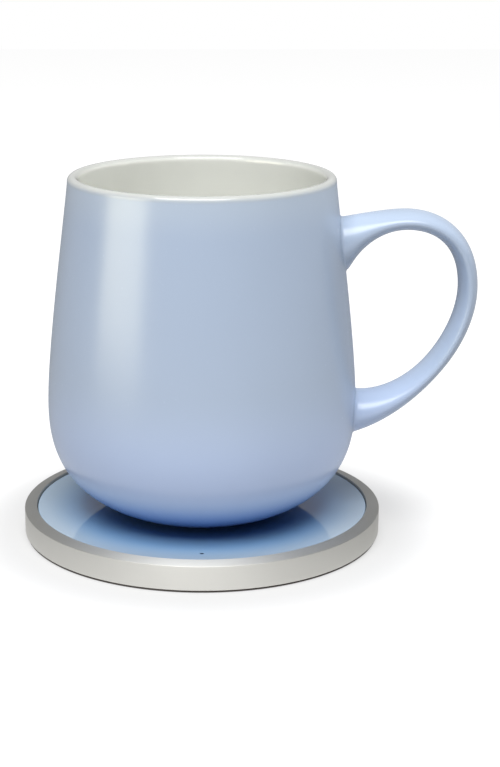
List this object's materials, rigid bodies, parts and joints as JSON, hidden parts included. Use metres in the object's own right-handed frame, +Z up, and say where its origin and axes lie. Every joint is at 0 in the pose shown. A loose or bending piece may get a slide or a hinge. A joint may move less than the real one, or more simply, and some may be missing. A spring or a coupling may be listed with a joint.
{
  "type": "electric mug warmer",
  "caption": "Thin round warming base with a satin metal ring and a dished glazed plate, holding its matching rounded ceramic mug with a large loop handle.",
  "frame": {"origin": "on the underside of the foot pad, under the centre of the round base, at table height", "axes": "+Z up; +X towards the mug's handle; -Y towards the indicator light, which is the front; +Y towards the power socket at the back"},
  "size_m": [0.1304, 0.104, 0.1048],
  "materials": {
    "satin_aluminium": "fine bead-blasted, clear anodised",
    "dish_glaze": "gloss",
    "foam_tape": "matt foam",
    "silicone": "matt",
    "black_plastic": "fine moulded texture",
    "foot_rubber": "matt",
    "screw_steel": "zinc plated",
    "tray_plastic": "moulded",
    "ferrite": "sintered, matt",
    "copper": "enamelled copper strand",
    "thermal_silicone": "soft, matt",
    "sensor_epoxy": "dipped bead",
    "ribbon_film": "polyimide film",
    "board_laminate": "solder mask",
    "chip_resin": "moulded resin",
    "capacitor_ceramic": "satin",
    "led_package": "clear resin",
    "light_pipe_plastic": "polished, smoke tint",
    "socket_steel": "drawn",
    "socket_plastic": "moulded",
    "mug_glaze": "satin matt glaze outside, white gloss glaze inside",
    "heating_film": "printed silver film",
    "cover_ceramic": "heat-proof disc, satin",
    "cover_silicone": "matt"
  },
  "bodies": {
    "base": {"bezel_ring": "satin_aluminium", "dish_plate": "dish_glaze", "bond_ring": "foam_tape", "edge_seal": "silicone", "inner_frame": "black_plastic", "bottom_cover": "black_plastic", "foot_pad": "foot_rubber", "cover_screws": "screw_steel", "board_screws": "screw_steel", "coil_tray": "tray_plastic", "ferrite_disc": "ferrite", "transmitter_coil": "copper", "coil_leads": "copper", "heat_pad": "thermal_silicone", "temperature_sensor": "sensor_epoxy", "sensor_ribbon": "ribbon_film", "circuit_board": "board_laminate", "controller_chip": "chip_resin", "power_chip": "chip_resin", "bridge_transistors": "chip_resin", "resonant_capacitors": "capacitor_ceramic", "filter_inductors": "ferrite", "board_capacitors": "capacitor_ceramic", "indicator_led": "led_package", "light_pipe": "light_pipe_plastic", "socket_shell": "socket_steel", "socket_tongue": "socket_plastic", "port_liner": "socket_plastic"},
    "mug": {"mug_body": "mug_glaze", "mug_handle": "mug_glaze", "heating_film": "heating_film", "film_cover": "cover_ceramic", "cover_seal": "cover_silicone"}
  },
  "joints": [
    {"name": "mug_lift", "type": "slide", "parent": "base", "child": "mug", "axis": [0, 0, 1], "range_m": [0, 0.12]}
  ]
}
